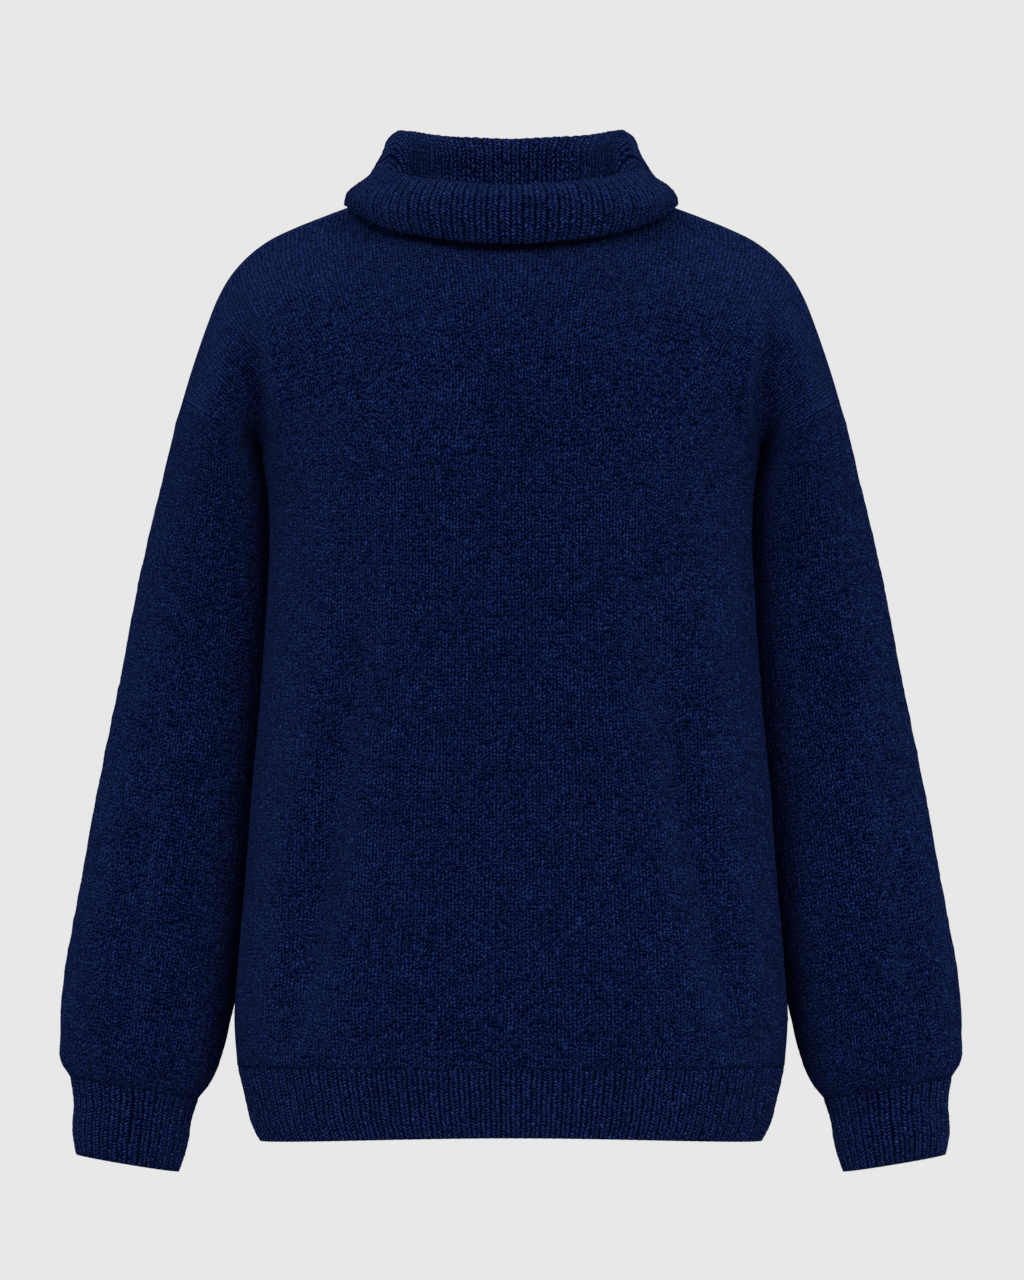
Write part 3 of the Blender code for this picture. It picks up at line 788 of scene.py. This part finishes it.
# By the angle round the neck, 0 at the front. "out" is how far from the neckline.
COLLAR = table(
    "angle fold_out fold_z fold_radius bulge_out bulge_z edge_out edge_z",
    (0, 13, 15.4, 11, 29, -8, 19, -26),
    (30, 12, 18.5, 11, 30, -5, 21, -22),
    (60, 9, 25, 10, 33, 2, 26, -11),
    (80, 8, 28, 9.5, 33, 8, 32, 1),
    (86, 5.5, 29, 8.5, 32, 9, 33, 3.4),
    (90.5, 3, 30.5, 8, 28, 11, 32, 3.6),
    (98, -2, 46, 7, 12, 28, 26, 3.4),
    (107, -1, 54.5, 6.5, 8, 34, 22, 3),
    (125, 3, 56.5, 8, 22, 12, 24, -4),
    (145, 12, 55, 8, 27, 4, 24, -9),
    (180, 8, 52.5, 8, 25, 2, 23, -13),
)

columns = COLLAR_RIBS * RIB_POINTS
angles = np.linspace(-np.pi, np.pi, columns + 1)
turn = np.degrees(abs(angles))
numbers = np.stack(list(COLLAR.values())[1:], axis=1)
# A mirrored row past each end keeps the collar smooth at the front and at the back.
numbers = np.concatenate([numbers[1:2], numbers, numbers[-2:-1]])
around = np.concatenate([[-30], COLLAR["angle"], [215]])
away_from_neck = np.stack([np.sin(angles), -np.cos(angles), np.zeros_like(angles)], axis=1)
skin = []
for place, away, row in zip(neckline(angles), away_from_neck, spline(turn, around, numbers)):
    fold_out, fold_z, radius, bulge_out, bulge_z, edge_out, edge_z = row
    foot_z = place[2] + COLLAR_SEAM_GAP
    section = np.array(
        [
            (-RIB_WALL, foot_z),
            (fold_out - radius - RIB_WALL / 2, 0.5 * (foot_z + fold_z - radius)),
            (fold_out - radius, fold_z - radius),
            (fold_out, fold_z),
            (fold_out + COLLAR_FALL["out"] * radius, fold_z - COLLAR_FALL["down"] * radius),
            (bulge_out, bulge_z),
            (edge_out, edge_z),
            (edge_out - COLLAR_CURL["in"], edge_z + COLLAR_CURL["up"]),
        ]
    )
    line = evenly_along(section, np.linspace(0, 1, COLLAR_ROWS + 1))
    skin.append(place * (1, 1, 0) + line[:, :1] * away + line[:, 1:] * (0, 0, 1))
skin = np.array(skin).transpose(1, 0, 2)[::-1]
out = outward(skin, True)
relief = np.tile(rib_relief(columns + 1, COLLAR_RIB_HEIGHT), (len(skin), 1))
relief = relief + uneven(skin, (8, 40), COLLAR_SWELL, 51, True) + fuzz(skin, 52)
relief[:, -1] = relief[:, 0]
skin = skin + relief[..., None] * out
collar = shell("collar_knit", skin, out, RIB_WALL, COLLAR_STEP, True)
# Its courses are counted backwards, which turns the stitches' V over.
collar.data.materials.append(
    wool("collar_wool", COLLAR_RIBS, -COLLAR_COURSES, COLLAR_SIZE, RIB, RIB_NAVIES_WITH_PAINTED_LIGHT)
)
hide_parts("collar")
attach(collar, "root")

# ---------------------------------------------------------------------------------------
# The studio: a pale round floor well below the hem, soft white light from all round, and a
# level camera far away with a long lens.

bm = bmesh.new()
bmesh.ops.create_circle(bm, cap_ends=True, segments=64, radius=1.2)
bmesh.ops.translate(bm, verts=bm.verts, vec=(0, 0, -0.8))
bmesh.ops.recalc_face_normals(bm, faces=bm.faces)
floor_mesh = bpy.data.meshes.new("floor")
bm.to_mesh(floor_mesh)
bm.free()
floor = bpy.data.objects.new("floor", floor_mesh)
bpy.context.scene.collection.objects.link(floor)
paint = bpy.data.materials.new("pale_floor")
paint.use_nodes = True
paint.node_tree.nodes["Principled BSDF"].inputs["Base Color"].default_value = (0.8, 0.8, 0.8, 1)
floor_mesh.materials.append(paint)

world = bpy.data.worlds.new("studio")
world.use_nodes = True
world.node_tree.nodes["Background"].inputs["Color"].default_value = (0.805, 0.805, 0.805, 1)
bpy.context.scene.world = world
bpy.context.scene.view_settings.view_transform = "Standard"

lights_aim = np.array((0, 0, -0.3))
for name, place, size, power in (
    ("key_light", (-1.4, -3.5, 2.2), 1.4, 175),
    ("fill_light", (1.4, -3.5, 1.8), 1.6, 160),
    ("top_light", (0, 0.6, 2.4), 1.8, 10),
    ("left_rim_light", (3.2, 2.0, 0.7), 1.8, 95),
    ("right_rim_light", (-3.2, 2.0, 0.7), 1.8, 95),
):
    lamp = bpy.data.lights.new(name, "AREA")
    lamp.size = size
    lamp.energy = power
    light = bpy.data.objects.new(name, lamp)
    light.location = place
    direction = lights_aim - np.array(place)
    light.rotation_euler = Vector(direction).to_track_quat("-Z", "Y").to_euler()
    bpy.context.scene.collection.objects.link(light)

lens = bpy.data.cameras.new("camera")
lens.sensor_fit = "VERTICAL"
lens.sensor_height = 24
lens.lens = 294.6
lens.clip_end = 40
camera = bpy.data.objects.new("camera", lens)
camera.location = (0.0007, -11, -0.301)
camera.rotation_euler = (np.pi / 2, 0, 0)
bpy.context.scene.collection.objects.link(camera)
bpy.context.scene.camera = camera
